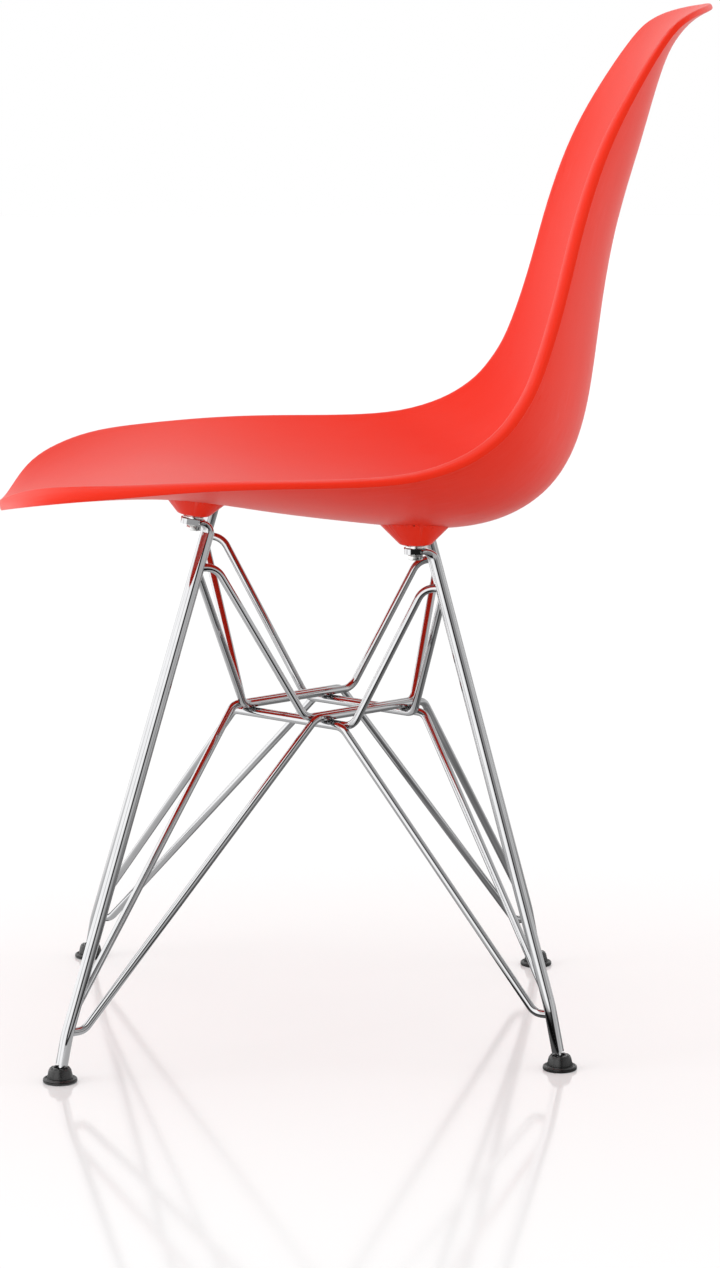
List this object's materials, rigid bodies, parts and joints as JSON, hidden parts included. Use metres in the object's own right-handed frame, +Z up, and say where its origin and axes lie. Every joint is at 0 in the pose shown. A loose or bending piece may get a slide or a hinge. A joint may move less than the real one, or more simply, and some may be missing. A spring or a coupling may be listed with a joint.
{
  "type": "side chair",
  "caption": "Side chair with a one-piece moulded plastic bucket shell on rubber mounts, and a base of bent chromed steel rod with cross struts and swivelling glides.",
  "frame": {"origin": "on the floor, under the middle of the chair's outline", "axes": "+Z up, the sitter looks along -Y, +X towards the sitter's left"},
  "size_m": [0.4688, 0.5578, 0.8097],
  "materials": {
    "shell_plastic": "fine satin moulded surface, warm red all through",
    "shock_rubber": "black, moulded",
    "plated_steel": "bright zinc plate",
    "chromed_rod": "polished trivalent chrome plate",
    "glide_nylon": "black, semi-gloss",
    "liner_nylon": "black, satin"
  },
  "bodies": {
    "chair": {"seat_shell": "shell_plastic", "mount_housing_front_left": "shell_plastic", "shock_mount_front_left": "shock_rubber", "mount_housing_front_right": "shell_plastic", "shock_mount_front_right": "shock_rubber", "mount_housing_rear_left": "shell_plastic", "shock_mount_rear_left": "shock_rubber", "mount_housing_rear_right": "shell_plastic", "shock_mount_rear_right": "shock_rubber", "threaded_inserts": "plated_steel", "spacer_washers": "plated_steel", "mounting_bolts": "plated_steel", "leg_front_left": "chromed_rod", "leg_front_right": "chromed_rod", "leg_rear_left": "chromed_rod", "leg_rear_right": "chromed_rod", "upper_strut_front_left": "chromed_rod", "upper_strut_front_right": "chromed_rod", "upper_strut_rear_left": "chromed_rod", "upper_strut_rear_right": "chromed_rod", "lower_strut_front_left": "chromed_rod", "lower_strut_front_right": "chromed_rod", "lower_strut_rear_left": "chromed_rod", "lower_strut_rear_right": "chromed_rod"},
    "liner_front_left": {"glide_liner_front_left": "liner_nylon"},
    "glide_front_left": {"glide_dome_front_left": "glide_nylon", "glide_pad_front_left": "glide_nylon"},
    "liner_front_right": {"glide_liner_front_right": "liner_nylon"},
    "glide_front_right": {"glide_dome_front_right": "glide_nylon", "glide_pad_front_right": "glide_nylon"},
    "liner_rear_left": {"glide_liner_rear_left": "liner_nylon"},
    "glide_rear_left": {"glide_dome_rear_left": "glide_nylon", "glide_pad_rear_left": "glide_nylon"},
    "liner_rear_right": {"glide_liner_rear_right": "liner_nylon"},
    "glide_rear_right": {"glide_dome_rear_right": "glide_nylon", "glide_pad_rear_right": "glide_nylon"}
  },
  "joints": [
    {"name": "glide_tilt_front_left", "type": "hinge", "parent": "chair", "child": "liner_front_left", "pos_m": [0.1915, -0.2251, 0.0056], "axis": [0.7944, 0.6074, 0], "range_deg": [-6, 6]},
    {"name": "glide_spin_front_left", "type": "hinge", "parent": "liner_front_left", "child": "glide_front_left", "pos_m": [0.1915, -0.2251, 0.0056], "axis": [0, 0, 1], "continuous": true},
    {"name": "glide_tilt_front_right", "type": "hinge", "parent": "chair", "child": "liner_front_right", "pos_m": [-0.1915, -0.2251, 0.0056], "axis": [0.7944, -0.6074, 0], "range_deg": [-6, 6]},
    {"name": "glide_spin_front_right", "type": "hinge", "parent": "liner_front_right", "child": "glide_front_right", "pos_m": [-0.1915, -0.2251, 0.0056], "axis": [0, 0, 1], "continuous": true},
    {"name": "glide_tilt_rear_left", "type": "hinge", "parent": "chair", "child": "liner_rear_left", "pos_m": [0.1609, 0.1573, 0.0056], "axis": [-0.8226, 0.5687, 0], "range_deg": [-6, 6]},
    {"name": "glide_spin_rear_left", "type": "hinge", "parent": "liner_rear_left", "child": "glide_rear_left", "pos_m": [0.1609, 0.1573, 0.0056], "axis": [0, 0, 1], "continuous": true},
    {"name": "glide_tilt_rear_right", "type": "hinge", "parent": "chair", "child": "liner_rear_right", "pos_m": [-0.1609, 0.1573, 0.0056], "axis": [-0.8226, -0.5687, 0], "range_deg": [-6, 6]},
    {"name": "glide_spin_rear_right", "type": "hinge", "parent": "liner_rear_right", "child": "glide_rear_right", "pos_m": [-0.1609, 0.1573, 0.0056], "axis": [0, 0, 1], "continuous": true}
  ]
}
